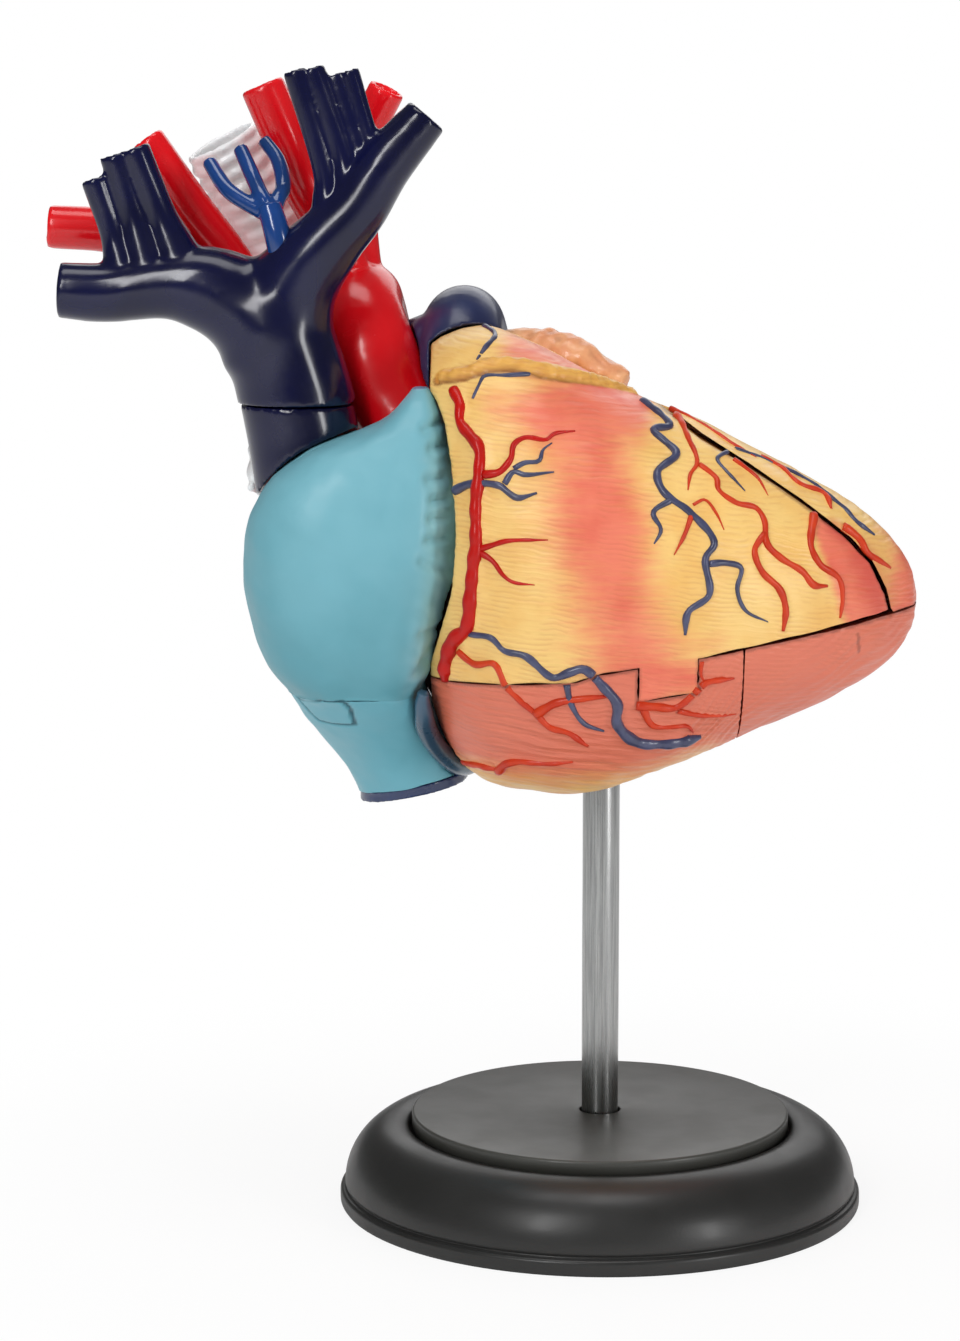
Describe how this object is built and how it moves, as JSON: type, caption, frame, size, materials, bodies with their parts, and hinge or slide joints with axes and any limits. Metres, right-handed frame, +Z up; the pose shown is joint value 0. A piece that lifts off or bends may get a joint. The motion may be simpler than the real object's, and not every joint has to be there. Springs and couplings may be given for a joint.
{
  "type": "human heart anatomy model",
  "caption": "Take-apart classroom model of a human heart with its great vessels, on a steel rod above a round base.",
  "frame": {"origin": "centre of the flat underside of the base, where the model stands", "axes": "+Z up along the rod, +X to the right and towards the tip of the heart as seen from the front, -Y towards the viewer"},
  "size_m": [0.1401, 0.0883, 0.1848],
  "materials": {
    "black_plastic": "semi-gloss moulded",
    "grey_plastic": "satin",
    "steel": "drawn and polished",
    "yellow_muscle": "hand-painted muscle with fine fibres, satin varnish",
    "salmon_muscle": "hand-painted muscle, satin varnish",
    "inner_muscle": "painted heart chamber, satin varnish",
    "valve_ivory": "satin",
    "atrium_blue": "painted, satin varnish",
    "navy_vein": "gloss",
    "vein_blue": "gloss",
    "artery_red": "gloss",
    "pink_atrium": "painted, satin varnish",
    "auricle_brown": "painted, satin varnish",
    "cartilage": "milky, semi-gloss"
  },
  "bodies": {
    "stand": {"base_shell": "black_plastic", "base_disc": "grey_plastic", "base_underplate": "black_plastic", "underplate_screw_1": "steel", "underplate_screw_2": "steel", "underplate_screw_3": "steel"},
    "rod": {"rod": "steel"},
    "heart_core": {"left_ventricle_wall": "yellow_muscle", "right_ventricle_floor": "salmon_muscle", "apex_floor": "salmon_muscle", "valve_plate": "valve_ivory", "septum": "inner_muscle", "tricuspid_valve": "valve_ivory", "mitral_valve": "valve_ivory", "aortic_valve": "valve_ivory", "papillary_muscle_1": "inner_muscle", "papillary_muscle_2": "inner_muscle", "papillary_muscle_3": "inner_muscle", "locating_peg_1": "valve_ivory", "locating_peg_2": "valve_ivory", "right_atrium_back": "atrium_blue", "inferior_vena_cava": "atrium_blue", "ivc_liner": "navy_vein", "coronary_sinus": "vein_blue", "svc_stub": "navy_vein", "aorta": "artery_red", "brachiocephalic_artery": "artery_red", "left_common_carotid": "artery_red", "left_subclavian_artery": "artery_red", "pulmonary_artery": "navy_vein", "right_pulmonary_artery": "navy_vein", "left_atrium": "pink_atrium", "left_auricle": "auricle_brown", "right_upper_pulmonary_vein": "artery_red", "right_lower_pulmonary_vein": "artery_red", "left_upper_pulmonary_vein": "artery_red", "left_lower_pulmonary_vein": "artery_red", "trachea": "cartilage", "right_bronchus": "cartilage", "left_bronchus": "cartilage"},
    "front_wall": {"right_ventricle_front_wall": "yellow_muscle"},
    "atrium_front": {"right_atrium_front": "atrium_blue"},
    "vein_tree": {"svc_upper": "navy_vein", "right_brachiocephalic_vein": "navy_vein", "left_brachiocephalic_vein": "navy_vein", "thyroid_veins": "vein_blue"}
  },
  "joints": [
    {"name": "rod_turn", "type": "hinge", "parent": "stand", "child": "rod", "pos_m": [0, 0, 0.04], "axis": [0, 0, 1], "continuous": true},
    {"name": "heart_lift", "type": "slide", "parent": "rod", "child": "heart_core", "axis": [0, 0, 1], "range_m": [0, 0.025]},
    {"name": "front_wall_pull", "type": "slide", "parent": "heart_core", "child": "front_wall", "axis": [0, -1, 0], "range_m": [0, 0.05]},
    {"name": "atrium_front_pull", "type": "slide", "parent": "heart_core", "child": "atrium_front", "axis": [0, -1, 0], "range_m": [0, 0.04]},
    {"name": "vein_tree_pull", "type": "slide", "parent": "heart_core", "child": "vein_tree", "axis": [-0.25, -0.05, 0.967], "range_m": [0, 0.025]}
  ]
}
